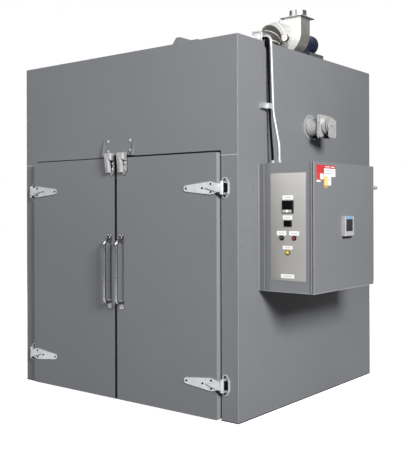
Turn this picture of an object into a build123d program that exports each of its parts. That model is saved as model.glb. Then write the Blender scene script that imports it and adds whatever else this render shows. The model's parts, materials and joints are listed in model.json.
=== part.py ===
from build123d import *
import os
from math import cos, radians, sin

# Walk-in oven, in millimetres. The origin is on the floor under the middle of the cabinet,
# +X is to the right of someone facing the doors, and the doors face -Y.

# Cabinet
cabinet_width = 2438
cabinet_depth = 2184
cabinet_height = 2896
wall_thickness = 152
rear_panel_length = 735
floor_thickness = 50

# Doorway in the front wall
doorway_width = 2130
doorway_height = 2032
header_lip_height = 34
stop_width = 45
gasket_thickness = 8
gasket_width = 16
gasket_inset = 8
corner_radius = 8

# Door leaves
leaf_thickness = 100
leaf_proud = 45
leaf_edge_gap = 14
leaf_top_gap = 12
leaf_ground_gap = 12
meeting_gap = 16
plug_depth = 45
plug_clearance = 14
plug_meeting_inset = 40
plug_chamfer = 14
seat_clearance = 0.3

# Strap hinges
pin_offset = 46
pin_radius = 8
pin_clearance = 0.5
knuckle_radius = 14
knuckle_height = 74
knuckle_end_gap = 1.5
strap_thickness = 6
strap_length = 358
strap_tip_radius = 24
strap_widest_at = 94
strap_widest_height = 100
strap_wide_radius = 45
strap_neck_at = 38
strap_neck_height = 70
strap_neck_radius = 30
crease_start = 45
crease_length = 110
crease_height = 60
crease_rise = 8
crease_taper = 30
upper_hinge_below_top = 268
lower_hinge_above_bottom = 261
bracket_plate_height = 156
bracket_plate_inward = 28
bracket_plate_outward = 48
bracket_plate_waist = 76
bracket_plate_corner = 12
bracket_bolt_from_pin = 4
bracket_end_width = 30
bracket_pocket_width = 30
bracket_pocket_depth = 3
bracket_plate_thickness = 6
bracket_ear_thickness = 8
bracket_ear_width = 32
pin_head_radius = 11
pin_head_height = 4

# Door handles
handle_from_middle = 69
handle_stand_off = 68
handle_tube_radius = 12.5
handle_bend_radius = 40
handle_centre_height = 1076.5
handle_leg_distance = 523
handle_flange_width = 50
handle_flange_thickness = 6
handle_flange_inner = 22
handle_flange_outer = 52
handle_flange_chamfer = 10

# Top latches and their bracket on the header
left_latch_from_edge = 2
right_latch_from_edge = 44
latch_width = 82
latch_plate_thickness = 8
latch_plate_below_leaf_top = 6
latch_side_height = 102
latch_point_depth = 38
latch_point_across = 50
latch_lever_width = 57
latch_lever_thickness = 24
latch_lever_height = 122
latch_lever_lean = 22
latch_lever_gap = 6
latch_lever_radius = 20
latch_groove_width = 7
latch_groove_depth = 4
latch_head_above_leaf = 42
latch_head_height = 62
latch_head_depth = 46
latch_head_radius = 14
latch_boss_radius = 10
latch_boss_height = 5
latch_boss_heights = (47, 92)
latch_bracket_width = 350
latch_bracket_above_doorway = 8
latch_bracket_height = 138
latch_bracket_depth = 36
latch_bracket_thickness = 5

# Control enclosure on the right wall
enclosure_from_front = 277
enclosure_length = 980
enclosure_bottom = 967
enclosure_height = 975
enclosure_depth = 484
enclosure_frame_depth = 48
enclosure_frame_inset = 10
enclosure_frame_bar = 40
enclosure_flange_rim = 8
enclosure_flange_thickness = 3
enclosure_sheet = 3
enclosure_return = 22
enclosure_door_depth = 20
enclosure_door_gap = 8
subpanel_margin = 60
subpanel_thickness = 3
subpanel_stand_off = 15
subpanel_foot = 14

# Hinge of the enclosure door
door_barrel_radius = 3.5
door_barrel_proud = 2
door_barrel_count = 11
door_barrel_gap = 1
door_barrel_web = 4

# Operator panel
panel_width = 312
panel_above_enclosure_bottom = 89
panel_below_enclosure_top = 80
panel_from_wall = 105
panel_thickness = 3
controller_size = 96
controller_below_panel_top = 254
controller_depth = 80
limit_width = 66
limit_size = 48
limit_below_controller = 53
bezel_thickness = 10
bezel_lap = 4
cutout_clearance = 1
button_spacing = 108
button_row_below_limit = 83
alarm_below_row = 109
button_radius = 11
button_bezel_radius = 15
button_bezel_thickness = 5
button_block_size = 16
button_block_depth = 45
button_proud = 12

# Display unit on the enclosure door
display_from_front = 422
display_width = 143
display_height = 153
display_above_enclosure_bottom = 414
display_depth = 33
display_edge = 3
display_screen_width = 108
display_screen_height = 112
display_screen_depth = 3
display_screen_from_side = 13
display_screen_below_top = 3

# Clamp at the rear edge of the enclosure door
clamp_below_enclosure_top = 177
clamp_lug = 30
clamp_lug_height = 36
clamp_knob_radius = 13
clamp_knob_length = 22

# Conduits from the roof to the enclosure
conduit_radius = 11.7
conduit_from_front = 402
conduit_edge_offset = 28
conduit_wall_offset = 51
conduit_low_offset = 105
conduit_roof_height = 48
conduit_kick_above_enclosure = 133
conduit_kick_length = 265
cable_radius = 9
cable_beside_conduit = 24
cable_edge_offset = 20
cable_wall_offset = 38
cable_low_offset = 60
cable_roof_height = 30
cable_kick_above_enclosure = 70
cable_kick_length = 250
cable_sleeve_radius = 15
cable_sleeve_shift = 13
cable_sleeve_above_roof = 12
cable_sleeve_below_roof = 36
conduit_bend_radius = 46
cable_bend_radius = 23
kick_bend_radius = 400
fitting_height = 26
fitting_lap = 5
fitting_clearance = 0.3
strut_above_enclosure = 448
strut_width = 41
strut_thickness = 21
strut_beyond_conduit = 6
strut_beyond_cable = 88
strut_block_length = 56
strut_block_thickness = 34
strut_strap_thickness = 4
strut_strap_clearance = 0.5
junction_box_length = 130
junction_box_width = 140
junction_box_height = 95
junction_box_from_edge = 30
junction_box_behind_cable = 59

# Fresh-air inlet and damper on the right wall
inlet_from_front = 1057
inlet_above_enclosure = 340
inlet_disc_radius = 108
inlet_disc_thickness = 4
inlet_duct_radius = 76
inlet_duct_length = 119
damper_frame_size = 186
damper_frame_length = 24
damper_frame_chamfer = 8
damper_throat_radius = 68
damper_throat_length = 64
damper_band_radius = 73
damper_band_start = 18
damper_band_length = 22
end_plate_width = 128
end_plate_height = 150
end_plate_thickness = 5
end_plate_drop = 24
end_plate_corner = 18

# Exhaust blower on the roof
blower_from_edge = 314
blower_from_front = 1110
blower_width = 152
blower_shaft_height = 211
scroll_start_radius = 148
scroll_growth = 15
outlet_width = 168
outlet_flange_height = 366
outlet_flange_side = 28
outlet_flange_front = 34
outlet_flange_thickness = 5
exhaust_collar_radius = 75
exhaust_collar_height = 60
exhaust_collar_sheet = 2
exhaust_collar_shift = 10
intake_ring_radius = 112
intake_ring_length = 100
intake_pipe_radius = 98
intake_bend_radius = 125
intake_bend_gores = 4
motor_radius = 84
motor_length = 355
motor_cap_radius = 89
motor_cap_length = 62
motor_cap_chamfer = 20
pedestal_width = 300
pedestal_length = 240
pedestal_height = 79
pedestal_sheet = 6
motor_foot_width = 130
motor_foot_inset = 30

# Airflow switch beside the blower intake
switch_beside_shaft = 140
switch_before_blower = 153
switch_radius = 30
switch_depth = 30
switch_height = 150
switch_leg_width = 8
switch_leg_spacing = 26

# Drive guard of the circulating fan on the roof
guard_x = 142
guard_from_front = 432
guard_width = 45
guard_top_from_front = 596
guard_body_from_front = 752
guard_body_width = 120
guard_body_length = 160
guard_height = 224
guard_flange = 20
guard_flange_thickness = 4

half_width = cabinet_width / 2
front = -cabinet_depth / 2
rear = cabinet_depth / 2
right_wall = half_width
inner_half_width = half_width - wall_thickness
doorway_half = doorway_width / 2
header_bottom = doorway_height - header_lip_height
leaf_front = front - leaf_proud
leaf_back = leaf_front + leaf_thickness
stop_front = leaf_back + gasket_thickness
post_back = front + wall_thickness
leaf_outer = doorway_half - leaf_edge_gap
leaf_inner = meeting_gap / 2
leaf_top = doorway_height - leaf_top_gap
stop_half = doorway_half - stop_width
pin_x = leaf_outer + pin_offset
pin_y = leaf_front - strap_thickness + knuckle_radius
enclosure_front = front + enclosure_from_front
enclosure_rear = enclosure_front + enclosure_length
enclosure_top = enclosure_bottom + enclosure_height
box_inner = right_wall + enclosure_frame_depth
door_back = right_wall + enclosure_depth - enclosure_door_depth
box_outer = door_back - enclosure_door_gap
door_face = right_wall + enclosure_depth
barrel_x = (box_outer + door_back) / 2
barrel_y = enclosure_front - door_barrel_proud
panel_face = enclosure_front - panel_thickness
panel_bottom = enclosure_bottom + panel_above_enclosure_bottom
panel_top = enclosure_top - panel_below_enclosure_top
panel_left = right_wall + panel_from_wall
device_x = panel_left + panel_width / 2
controller_z = panel_top - controller_below_panel_top
limit_z = controller_z - controller_size / 2 - limit_below_controller - limit_size / 2
button_row_z = limit_z - limit_size / 2 - button_row_below_limit
alarm_button_z = button_row_z - alarm_below_row
conduit_y = front + conduit_from_front
cable_y = conduit_y - cable_beside_conduit
inlet_y = front + inlet_from_front
inlet_z = enclosure_top + inlet_above_enclosure
blower_x = right_wall - blower_from_edge
blower_front = front + blower_from_front
blower_back = blower_front + blower_width
shaft_z = cabinet_height + blower_shaft_height
scroll_right = blower_x + scroll_start_radius + 3 * scroll_growth
outlet_top = cabinet_height + outlet_flange_height


def block(x0, x1, y0, y1, z0, z1):
    """A box between two corners."""
    size = (abs(x1 - x0), abs(y1 - y0), abs(z1 - z0))
    return Pos((x0 + x1) / 2, (y0 + y1) / 2, (z0 + z1) / 2) * Box(*size)


def rod(x, y, z0, z1, radius):
    """An upright cylinder."""
    return Pos(x, y, (z0 + z1) / 2) * Cylinder(radius, z1 - z0)


def hexagon(x, y, z0, z1, radius):
    """An upright six-sided bar."""
    return Pos(x, y, z0) * extrude(RegularPolygon(radius, 6), z1 - z0)


def rod_x(x0, x1, y, z, radius):
    """A cylinder along X."""
    return Pos((x0 + x1) / 2, y, z) * Rot(0, 90, 0) * Cylinder(radius, x1 - x0)


def rod_y(x, y0, y1, z, radius):
    """A cylinder along Y."""
    return Pos(x, (y0 + y1) / 2, z) * Rot(90, 0, 0) * Cylinder(radius, y1 - y0)


def prism_y(points, y0, y1):
    """An outline of (x, z) points, extruded from y0 to y1."""
    face = Plane.XZ * make_face(Polyline(*points, close=True))
    return Pos(0, y1, 0) * extrude(face, y1 - y0)


def prism_x(points, x0, x1):
    """An outline of (y, z) points, extruded from x0 to x1."""
    face = Plane.YZ * make_face(Polyline(*points, close=True))
    return Pos(x0, 0, 0) * extrude(face, x1 - x0)


def pipe(points, radii, radius):
    """A round bar along straight runs joined by arcs."""
    path = FilletPolyline(*points, radius=radii)
    section = Plane(origin=path @ 0, z_dir=path % 0) * Circle(radius)
    return sweep(section, path=path)


def side_wall(side, y0, y1):
    inner = side * inner_half_width
    return block(inner, side * half_width, y0, y1, 0, cabinet_height)


def rear_wall():
    return block(-inner_half_width, inner_half_width, rear - wall_thickness, rear, 0, cabinet_height)


def roof_panel():
    x = inner_half_width
    return block(-x, x, post_back, rear - wall_thickness, cabinet_height - wall_thickness, cabinet_height)


def floor_panel():
    chamber = block(-inner_half_width, inner_half_width, post_back, rear - wall_thickness, 0, floor_thickness)
    sill = block(-stop_half, stop_half, stop_front, post_back, 0, floor_thickness)
    return chamber + sill


def front_header():
    panel = block(-half_width, half_width, front, post_back, header_bottom, cabinet_height)
    bends = panel.faces().sort_by(Axis.Y)[0].edges().filter_by(Axis.Z)
    panel = fillet(bends, corner_radius)
    return panel - block(-doorway_half, doorway_half, front, stop_front, header_bottom, doorway_height)


def front_post(side):
    post = block(side * doorway_half, side * half_width, front, post_back, 0, header_bottom)
    bends = post.faces().sort_by(Axis.Y)[0].edges().filter_by(Axis.Z).sort_by(Axis.X)
    post = fillet(bends[-1] if side > 0 else bends[0], corner_radius)
    return post + block(side * stop_half, side * doorway_half, stop_front, post_back, 0, header_bottom)


def door_gasket():
    outer = doorway_half - leaf_edge_gap - gasket_inset
    inner = outer - gasket_width
    top = leaf_top - gasket_inset
    bottom = leaf_ground_gap + gasket_inset
    y0 = leaf_back + seat_clearance
    ring = block(-outer, outer, y0, stop_front, bottom, top)
    return ring - block(-inner, inner, y0, stop_front, bottom + gasket_width, top - gasket_width)


def door_leaf(side):
    slab = block(side * leaf_inner, side * leaf_outer, leaf_front, leaf_back, leaf_ground_gap, leaf_top)
    plug_inner = leaf_inner + plug_meeting_inset
    plug_outer = stop_half - plug_clearance
    bottom = floor_thickness + plug_clearance
    top = header_bottom - plug_clearance
    plug = block(side * plug_inner, side * plug_outer, leaf_back, leaf_back + plug_depth, bottom, top)
    back_edges = plug.faces().sort_by(Axis.Y)[-1].edges()
    return slab + chamfer(back_edges, plug_chamfer)


def strap_outline():
    """Strap seen from the front, with the pin at the origin and the tip towards -X."""
    neck = strap_neck_height / 2
    wide = strap_widest_height / 2
    tip = strap_tip_radius
    tip_centre = strap_length - tip
    upper = [(-tip_centre, tip), (-strap_widest_at, wide), (-strap_neck_at, neck), (0, neck)]
    lower = [(x, -z) for x, z in reversed(upper)]
    edges = [
        FilletPolyline(*upper, radius=[strap_wide_radius, strap_neck_radius]),
        Line(upper[-1], lower[0]),
        FilletPolyline(*lower, radius=[strap_neck_radius, strap_wide_radius]),
        ThreePointArc(lower[-1], (-strap_length, 0), upper[0]),
    ]
    return make_face(edges)


def strap(z):
    """Tapered strap with a pressed crease and the knuckle that turns on the pin, right door."""
    plate = Plane.XZ * strap_outline()
    plate = Pos(pin_x, leaf_front, z) * extrude(plate, strap_thickness)
    crease = [(-crease_start, crease_height / 2), (-crease_start - crease_length, 0),
              (-crease_start, -crease_height / 2)]
    rib = extrude(Plane.XZ * make_face(Polyline(*crease, close=True)), crease_rise, taper=crease_taper)
    rib = Pos(pin_x, leaf_front - strap_thickness, z) * rib
    knuckle = rod(pin_x, pin_y, z - knuckle_height / 2, z + knuckle_height / 2, knuckle_radius)
    bore = rod(pin_x, pin_y, z - knuckle_height, z + knuckle_height, pin_radius + pin_clearance)
    return (plate + rib + knuckle) - bore


def hinge_bracket(z):
    """Cast plate on the post, widest at its middle, with two ears that hold the hinge pin, right door."""
    half_plate = bracket_plate_height / 2
    half_waist = bracket_plate_waist / 2
    half_end = bracket_end_width / 2
    upper = [(-bracket_plate_inward, half_waist), (bracket_bolt_from_pin - half_end, half_plate),
             (bracket_bolt_from_pin + half_end, half_plate), (bracket_plate_outward, half_waist)]
    lower = [(x, -height) for x, height in reversed(upper)]
    plate = extrude(Plane.XZ * make_face(Polyline(*upper, *lower, close=True)), bracket_plate_thickness)
    body = Pos(pin_x, front, z) * fillet(plate.edges().filter_by(Axis.Y), bracket_plate_corner)
    face = front - bracket_plate_thickness
    body -= block(pin_x - bracket_pocket_width / 2, pin_x + bracket_pocket_width / 2,
                  face, face + bracket_pocket_depth, z - knuckle_height / 2, z + knuckle_height / 2)
    ear_start = knuckle_height / 2 + knuckle_end_gap
    ear_end = ear_start + bracket_ear_thickness
    half_ear = bracket_ear_width / 2
    for direction in (-1, 1):
        low, high = sorted((z + direction * ear_start, z + direction * ear_end))
        body += block(pin_x - half_ear, pin_x + half_ear, pin_y, front, low, high)
        body += rod(pin_x, pin_y, low, high, half_ear)
        low, high = sorted((z + direction * ear_end, z + direction * (ear_end + pin_head_height)))
        body += hexagon(pin_x, pin_y, low, high, pin_head_radius)
    return body + rod(pin_x, pin_y, z - ear_end, z + ear_end, pin_radius)


def door_handle():
    """Bent tube with a mounting plate at each end, right door."""
    x = handle_from_middle
    out = leaf_front - handle_stand_off
    face = leaf_front - handle_flange_thickness
    top_leg = handle_centre_height + handle_leg_distance / 2
    bottom_leg = handle_centre_height - handle_leg_distance / 2
    points = [(x, face, top_leg), (x, out, top_leg), (x, out, bottom_leg), (x, face, bottom_leg)]
    grip = pipe(points, handle_bend_radius, handle_tube_radius)
    half = handle_flange_width / 2
    for leg, direction in ((top_leg, 1), (bottom_leg, -1)):
        low, high = sorted((leg - direction * handle_flange_inner, leg + direction * handle_flange_outer))
        plate = block(x - half, x + half, face, leaf_front, low, high)
        grip += chamfer(plate.edges().filter_by(Axis.Y), handle_flange_chamfer)
    return grip


def door_latch(side):
    """Latch casting on a leaf: a plate pointed at its foot, a head over the leaf and a leaning lever."""
    x0 = leaf_inner + right_latch_from_edge if side > 0 else -leaf_inner - left_latch_from_edge - latch_width
    x1 = x0 + latch_width
    top = leaf_top - latch_plate_below_leaf_top
    foot = top - latch_side_height
    point = (x0 + latch_point_across, foot - latch_point_depth)
    outline = [(x0, foot), point, (x1, foot), (x1, top), (x0, top)]
    face = leaf_front - latch_plate_thickness
    casting = prism_y(outline, face, leaf_front)

    head_top = leaf_top + latch_head_above_leaf
    head = block(x0, x1, face - latch_head_depth, face, head_top - latch_head_height, head_top)
    casting += fillet(head.faces().sort_by(Axis.Y)[0].edges(), latch_head_radius)

    lever_foot = leaf_top - latch_lever_height
    low_back = face - latch_lever_gap
    high_back = low_back - latch_lever_lean
    side_view = [(low_back, lever_foot), (high_back, leaf_top), (high_back - latch_lever_thickness, leaf_top),
                 (low_back - latch_lever_thickness, lever_foot)]
    lever = prism_x(side_view, x0, x0 + latch_lever_width)
    lever_face = lever.faces().sort_by(Axis.Y)[0]
    lever = fillet(lever_face.edges().filter_by(Axis.X, reverse=True), latch_lever_radius)
    groove_back = [(y - latch_lever_thickness + latch_groove_depth, z) for y, z in side_view[:2]]
    groove_front = [(y - 2 * latch_lever_thickness, z) for y, z in reversed(side_view[:2])]
    middle = x0 + latch_lever_width / 2
    half = latch_groove_width / 2
    casting += lever - prism_x(groove_back + groove_front, middle - half, middle + half)

    boss_x = (x0 + latch_lever_width + x1) / 2
    for below in latch_boss_heights:
        casting += rod_y(boss_x, face - latch_boss_height, face, leaf_top - below, latch_boss_radius)
    return casting


def latch_bracket():
    """Folded bracket on the header: a back plate, a shelf and a gusset at each end."""
    half = latch_bracket_width / 2
    t = latch_bracket_thickness
    bottom = doorway_height + latch_bracket_above_doorway
    top = bottom + latch_bracket_height
    out = front - t - latch_bracket_depth
    plate = block(-half, half, front - t, front, bottom, top)
    shelf = block(-half, half, out, front, bottom, bottom + t)
    gusset = [(front, bottom), (out, bottom), (front - t, top), (front, top)]
    return plate + shelf + prism_x(gusset, -half, t - half) + prism_x(gusset, half - t, half)


def device_cutout(half_x, half_z, z):
    """The hole that a panel-mounted device needs through the plate and the enclosure's front."""
    hole_x = half_x + cutout_clearance
    hole_z = half_z + cutout_clearance
    return block(device_x - hole_x, device_x + hole_x, panel_face, enclosure_front + enclosure_sheet,
                 z - hole_z, z + hole_z)


def button_places():
    half = button_spacing / 2
    return [(device_x - half, button_row_z), (device_x + half, button_row_z), (device_x, alarm_button_z)]


def panel_holes():
    holes = [device_cutout(controller_size / 2 - bezel_lap, controller_size / 2 - bezel_lap, controller_z),
             device_cutout(limit_width / 2 - bezel_lap, limit_size / 2 - bezel_lap, limit_z)]
    for x, z in button_places():
        hole_radius = button_radius + cutout_clearance
        holes.append(rod_y(x, panel_face, enclosure_front + enclosure_sheet, z, hole_radius))
    return holes


def mount_frame():
    """Channel frame that carries the enclosure on the wall, with its rim against the wall."""
    rim = enclosure_flange_rim
    y0 = enclosure_front + enclosure_frame_inset
    y1 = enclosure_rear - enclosure_frame_inset
    z0 = enclosure_bottom + enclosure_frame_inset
    z1 = enclosure_top - enclosure_frame_inset
    bar = enclosure_frame_bar
    frame = block(right_wall, box_inner, y0, y1, z0, z1)
    rim_face = right_wall + enclosure_flange_thickness
    frame += block(right_wall, rim_face, y0 - rim, y1 + rim, z0 - rim, z1 + rim)
    return frame - block(right_wall, box_inner, y0 + bar, y1 - bar, z0 + bar, z1 - bar)


def barrel_segments(first):
    """Every second knuckle of the long hinge, as (z0, z1) pairs."""
    pitch = enclosure_height / door_barrel_count
    half_gap = door_barrel_gap / 2
    spans = []
    for index in range(first, door_barrel_count, 2):
        start = enclosure_bottom + index * pitch
        spans.append((start + half_gap, start + pitch - half_gap))
    return spans


def barrels(first, carrier_x):
    """Knuckles on the pin line, each with a web that reaches the sheet that carries it."""
    webs_back = barrel_y + door_barrel_web
    solids = []
    for z0, z1 in barrel_segments(first):
        web = block(barrel_x, carrier_x, barrel_y, webs_back, z0, z1)
        solids.append(rod(barrel_x, barrel_y, z0, z1, door_barrel_radius) + web)
    return solids


def control_enclosure():
    """Sheet-metal box, open towards +X, with a rim folded in round the opening."""
    t = enclosure_sheet
    lip = enclosure_return
    box = block(box_inner, box_outer, enclosure_front, enclosure_rear, enclosure_bottom, enclosure_top)
    inside = block(box_inner + t, box_outer - t, enclosure_front + t, enclosure_rear - t,
                   enclosure_bottom + t, enclosure_top - t)
    mouth = block(box_outer - t, box_outer, enclosure_front + lip, enclosure_rear - lip,
                  enclosure_bottom + lip, enclosure_top - lip)
    box = box - inside - mouth
    for hole in panel_holes():
        box -= hole
    for knuckle in barrels(0, box_outer - door_barrel_web):
        box += knuckle
    return box


def subpanel():
    margin = subpanel_margin
    x0 = box_inner + enclosure_sheet + subpanel_stand_off
    plate = block(x0, x0 + subpanel_thickness, enclosure_front + margin, enclosure_rear - margin,
                  enclosure_bottom + margin, enclosure_top - margin)
    inset = margin * 1.5
    half = subpanel_foot / 2
    for y in (enclosure_front + inset, enclosure_rear - inset):
        for z in (enclosure_bottom + inset, enclosure_top - inset):
            plate += block(x0 - subpanel_stand_off, x0, y - half, y + half, z - half, z + half)
    return plate


def control_door():
    """Door pan of the enclosure, open at the back, with its half of the long hinge."""
    t = enclosure_sheet
    pan = block(door_back, door_face, enclosure_front, enclosure_rear, enclosure_bottom, enclosure_top)
    pan -= block(door_back, door_face - t, enclosure_front + t, enclosure_rear - t,
                 enclosure_bottom + t, enclosure_top - t)
    for knuckle in barrels(1, door_back + door_barrel_web):
        pan += knuckle
    return pan


def door_clamp():
    """Lug with a screw knob at the rear edge of the enclosure door."""
    z = enclosure_top - clamp_below_enclosure_top
    half = clamp_lug_height / 2
    lug = block(door_back, door_face, enclosure_rear, enclosure_rear + clamp_lug, z - half, z + half)
    lug = fillet(lug.faces().sort_by(Axis.Y)[-1].edges().filter_by(Axis.X), half * 0.8)
    y = enclosure_rear + clamp_lug / 2
    return lug + rod_x(door_face, door_face + clamp_knob_length, y, z, clamp_knob_radius)


def display_unit():
    """Flat housing with a shallow recess for its screen."""
    y0 = enclosure_front + display_from_front
    z0 = enclosure_bottom + display_above_enclosure_bottom
    face = door_face + display_depth
    body = block(door_face, face, y0, y0 + display_width, z0, z0 + display_height)
    body = chamfer(body.faces().sort_by(Axis.X)[-1].edges(), display_edge)
    screen_y = y0 + display_screen_from_side
    screen_top = z0 + display_height - display_screen_below_top
    return body - block(face - display_screen_depth, face, screen_y, screen_y + display_screen_width,
                        screen_top - display_screen_height, screen_top)


def operator_panel():
    plate = block(panel_left, panel_left + panel_width, panel_face, enclosure_front, panel_bottom, panel_top)
    for hole in panel_holes():
        plate -= hole
    return plate


def panel_device(width, height, z):
    """Controller with a bezel on the plate and its case behind it."""
    half_x, half_z = width / 2, height / 2
    bezel = block(device_x - half_x, device_x + half_x, panel_face - bezel_thickness, panel_face,
                  z - half_z, z + half_z)
    bezel = chamfer(bezel.faces().sort_by(Axis.Y)[0].edges(), bezel_thickness * 0.3)
    case_x, case_z = half_x - bezel_lap, half_z - bezel_lap
    return bezel + block(device_x - case_x, device_x + case_x, panel_face, panel_face + controller_depth,
                         z - case_z, z + case_z)


def push_buttons():
    """Round caps in their rings, each with a square contact block behind the panel."""
    solids = []
    half_block = button_block_size / 2
    for x, z in button_places():
        button = rod_y(x, panel_face - button_bezel_thickness, panel_face, z, button_bezel_radius)
        button += rod_y(x, panel_face - button_proud, panel_face - button_bezel_thickness, z, button_radius)
        button += block(x - half_block, x + half_block, panel_face, panel_face + button_block_depth,
                        z - half_block, z + half_block)
        solids.append(button)
    return Compound(children=solids)


def wall_run(y, offsets, roof_height, kick_above, kick_length, bend_radius, radius):
    """Line from the roof box over the roof edge, down the wall and out to the enclosure's top.

    offsets are its distances from the wall at the roof's edge, above the kick and below it."""
    x_edge, x_high, x_low = (right_wall + offset for offset in offsets)
    z_roof = cabinet_height + roof_height
    kick_bottom = enclosure_top + kick_above
    points = [(right_wall - junction_box_from_edge, y, z_roof), (x_edge, y, z_roof),
              (x_high, y, kick_bottom + kick_length), (x_low, y, kick_bottom),
              (x_low, y, enclosure_top + fitting_lap)]
    return pipe(points, [bend_radius, kick_bend_radius, kick_bend_radius], radius)


def conduit():
    offsets = (conduit_edge_offset, conduit_wall_offset, conduit_low_offset)
    return wall_run(conduit_y, offsets, conduit_roof_height, conduit_kick_above_enclosure,
                    conduit_kick_length, conduit_bend_radius, conduit_radius)


def black_cable():
    """Black cable with the connector sleeve that stands against the roof edge."""
    offsets = (cable_edge_offset, cable_wall_offset, cable_low_offset)
    line = wall_run(cable_y, offsets, cable_roof_height, cable_kick_above_enclosure,
                    cable_kick_length, cable_bend_radius, cable_radius)
    sleeve = rod(right_wall + cable_edge_offset, cable_y - cable_sleeve_shift,
                 cabinet_height - cable_sleeve_below_roof, cabinet_height + cable_sleeve_above_roof,
                 cable_sleeve_radius)
    return line + sleeve


def conduit_fittings():
    """Six-sided connectors where the conduit and the cable enter the enclosure."""
    solids = []
    for offset, y, radius in ((conduit_low_offset, conduit_y, conduit_radius),
                              (cable_low_offset, cable_y, cable_radius)):
        x = right_wall + offset
        body = hexagon(x, y, enclosure_top, enclosure_top + fitting_height, radius + fitting_lap)
        body -= rod(x, y, enclosure_top + fitting_lap, enclosure_top + fitting_height,
                    radius + fitting_clearance)
        solids.append(body)
    return Compound(children=solids)


def conduit_strut():
    """Wall channel behind both lines, with a clamp block and a strap over the cable."""
    z0 = enclosure_top + strut_above_enclosure - strut_width / 2
    z1 = z0 + strut_width
    y0 = cable_y - strut_beyond_cable
    y1 = y0 + strut_block_length
    strap_inner = right_wall + cable_wall_offset + cable_radius + strut_strap_clearance
    strap_outer = strap_inner + strut_strap_thickness
    strut = block(right_wall, right_wall + strut_thickness, y0, conduit_y + strut_beyond_conduit, z0, z1)
    strut += block(right_wall, right_wall + strut_block_thickness, y0, y1, z0, z1)
    strut += block(right_wall, strap_outer, y1 - strut_strap_thickness, y1, z0, z1)
    return strut + block(strap_inner, strap_outer, y1 - strut_strap_thickness, cable_y + cable_radius, z0, z1)


def junction_box():
    """Small roof box that the conduit and the cable leave towards the wall."""
    x1 = right_wall - junction_box_from_edge
    y = cable_y + junction_box_behind_cable
    half = junction_box_length / 2
    return block(x1 - junction_box_width, x1, y - half, y + half,
                 cabinet_height, cabinet_height + junction_box_height)


def inlet_collar():
    """Wall disc and the short round duct of the fresh-air inlet."""
    disc = rod_x(right_wall, right_wall + inlet_disc_thickness, inlet_y, inlet_z, inlet_disc_radius)
    return disc + rod_x(right_wall, right_wall + inlet_duct_length, inlet_y, inlet_z, inlet_duct_radius)


def inlet_damper():
    """Damper: square frame on the duct, round throat with a clamp band, and the end plate."""
    x0 = right_wall + inlet_duct_length
    x1 = x0 + damper_frame_length
    end = x1 + damper_throat_length
    half = damper_frame_size / 2
    frame = block(x0, x1, inlet_y - half, inlet_y + half, inlet_z - half, inlet_z + half)
    body = chamfer(frame.edges().filter_by(Axis.X), damper_frame_chamfer)
    body += rod_x(x1, end, inlet_y, inlet_z, damper_throat_radius)
    band_start = x1 + damper_band_start
    body += rod_x(band_start, band_start + damper_band_length, inlet_y, inlet_z, damper_band_radius)
    half_plate = end_plate_width / 2
    half_height = end_plate_height / 2
    centre = inlet_z - end_plate_drop
    plate = block(end, end + end_plate_thickness, inlet_y - half_plate, inlet_y + half_plate,
                  centre - half_height, centre + half_height)
    return body + fillet(plate.edges().filter_by(Axis.X), end_plate_corner)


def scroll_outline():
    """Spiral housing seen from the front, in (x, z): three quarter turns that grow, open upwards."""
    first = scroll_start_radius
    grow = scroll_growth
    x = blower_x
    z = shaft_z
    top = (x, z + first)
    left = scroll_right - outlet_width
    edges = [
        CenterArc((x, z), first, 90, 90),
        CenterArc((x + grow, z), first + grow, 180, 90),
        CenterArc((x + grow, z + grow), first + 2 * grow, 270, 90),
        Line((scroll_right, z + grow), (scroll_right, outlet_top)),
        Line((scroll_right, outlet_top), (left, outlet_top)),
        Line((left, outlet_top), (left, top[1])),
        Line((left, top[1]), top),
    ]
    return make_face(edges)


def blower_scroll():
    return Pos(0, blower_back, 0) * extrude(Plane.XZ * scroll_outline(), blower_width)


def blower_outlet():
    """Outlet flange with the round collar that the exhaust duct slips over."""
    x = scroll_right - outlet_width / 2
    y = (blower_front + blower_back) / 2
    z1 = outlet_top + outlet_flange_thickness
    half_x = outlet_width / 2 + outlet_flange_side
    half_y = blower_width / 2 + outlet_flange_front
    plate = block(x - half_x, x + half_x, y - half_y, y + half_y, outlet_top, z1)
    collar_x = x + exhaust_collar_shift
    collar = rod(collar_x, y, z1, z1 + exhaust_collar_height, exhaust_collar_radius)
    bore_radius = exhaust_collar_radius - exhaust_collar_sheet
    bore = rod(collar_x, y, outlet_top, z1 + exhaust_collar_height, bore_radius)
    return plate + collar - bore


def blower_intake():
    """Intake ring and the gored elbow that comes up through the roof."""
    y0 = blower_front - intake_ring_length
    ring = rod_y(blower_x, y0, blower_front, shaft_z, intake_ring_radius)
    bend = intake_bend_radius
    points = [(blower_x, y0, shaft_z)]
    for gore in range(intake_bend_gores):
        turned = radians(90 * (gore + 0.5) / intake_bend_gores)
        points.append((blower_x, y0 - bend * sin(turned), shaft_z - bend * (1 - cos(turned))))
    points.append((blower_x, y0 - bend * sin(turned), cabinet_height))
    path = Polyline(*points)
    section = Plane(origin=path @ 0, z_dir=path % 0) * Circle(intake_pipe_radius)
    return ring + sweep(section, path=path, transition=Transition.RIGHT)


def blower_motor():
    """Round motor behind the scroll with its fan cap and foot."""
    body_end = blower_back + motor_length - motor_cap_length
    body = rod_y(blower_x, blower_back, body_end, shaft_z, motor_radius)
    cap = rod_y(blower_x, body_end, blower_back + motor_length, shaft_z, motor_cap_radius)
    cap = chamfer(cap.edges().sort_by(Axis.Y)[-1], motor_cap_chamfer)
    half_foot = motor_foot_width / 2
    foot = block(blower_x - half_foot, blower_x + half_foot, blower_back + motor_foot_inset,
                 blower_back + pedestal_length - motor_foot_inset, cabinet_height + pedestal_height, shaft_z)
    return body + cap + foot


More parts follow.
